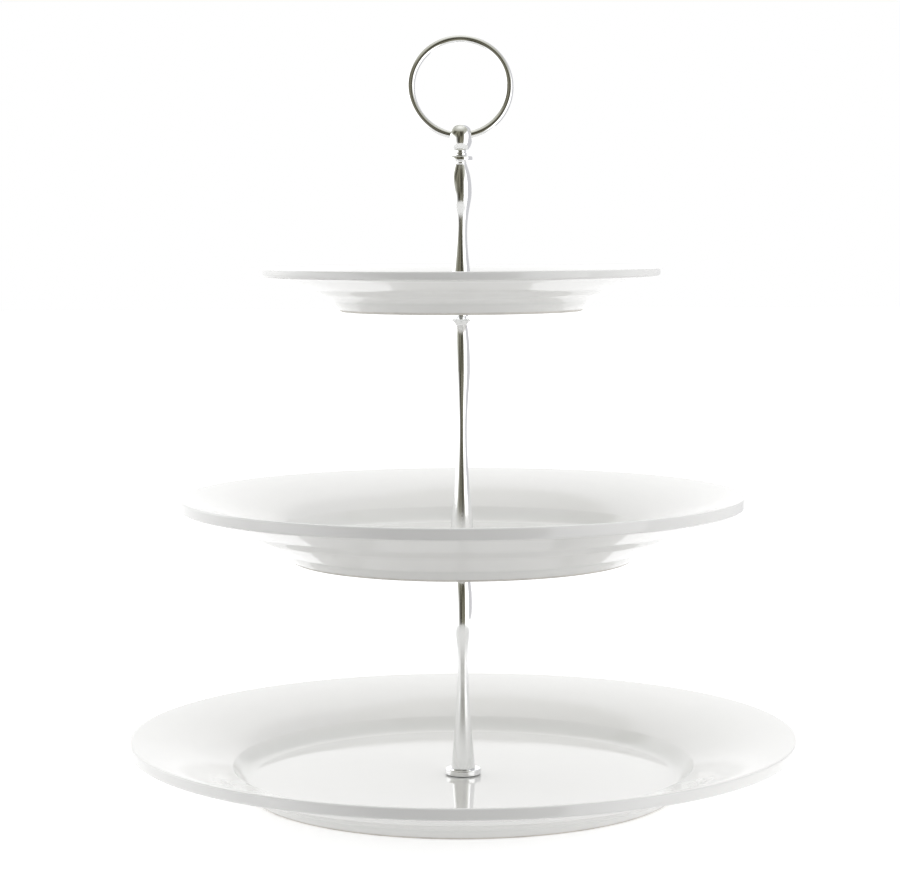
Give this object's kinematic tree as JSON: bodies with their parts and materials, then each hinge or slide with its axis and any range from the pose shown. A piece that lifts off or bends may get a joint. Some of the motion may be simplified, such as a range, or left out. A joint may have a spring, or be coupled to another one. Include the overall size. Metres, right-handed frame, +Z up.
{
  "type": "tiered cake stand",
  "caption": "Tiered serving stand: round rimmed porcelain plates clamped on a turned chrome centre rod, with a swinging ring handle in the ball on top.",
  "frame": {"origin": "on the rod's axis, in the plane that the lower plate's foot ring stands on", "axes": "+Z up along the centre rod; X along the axis that the ring handle swings about; -Y towards the viewer, from whom the ring leans back"},
  "size_m": [0.27, 0.27, 0.3051],
  "materials": {
    "porcelain": "white, clear glossy glaze, bare ground foot",
    "chrome": "bright mirror plating",
    "plain_steel": "plain zinc-bright steel",
    "soft_plastic": "clear soft plastic washers"
  },
  "bodies": {
    "stand": {"plate_lower": "porcelain", "plate_middle": "porcelain", "plate_top": "porcelain", "rod_lower": "chrome", "rod_middle": "chrome", "rod_handle": "chrome", "collar_lower": "chrome", "collar_middle": "chrome", "collar_top": "chrome", "support_nut_middle": "chrome", "support_nut_top": "chrome", "finial_washer": "chrome", "finial_ball": "chrome", "base_screw": "plain_steel", "soft_washer_under_lower_plate": "soft_plastic", "soft_washer_over_lower_plate": "soft_plastic", "soft_washer_under_middle_plate": "soft_plastic", "soft_washer_over_middle_plate": "soft_plastic", "soft_washer_under_top_plate": "soft_plastic", "soft_washer_over_top_plate": "soft_plastic"},
    "ring": {"ring_handle": "chrome"}
  },
  "joints": [
    {"name": "ring_swing", "type": "hinge", "parent": "stand", "child": "ring", "pos_m": [0, 0, 0.26505], "axis": [1, 0, 0], "range_deg": [-154.5, 175.5]}
  ]
}
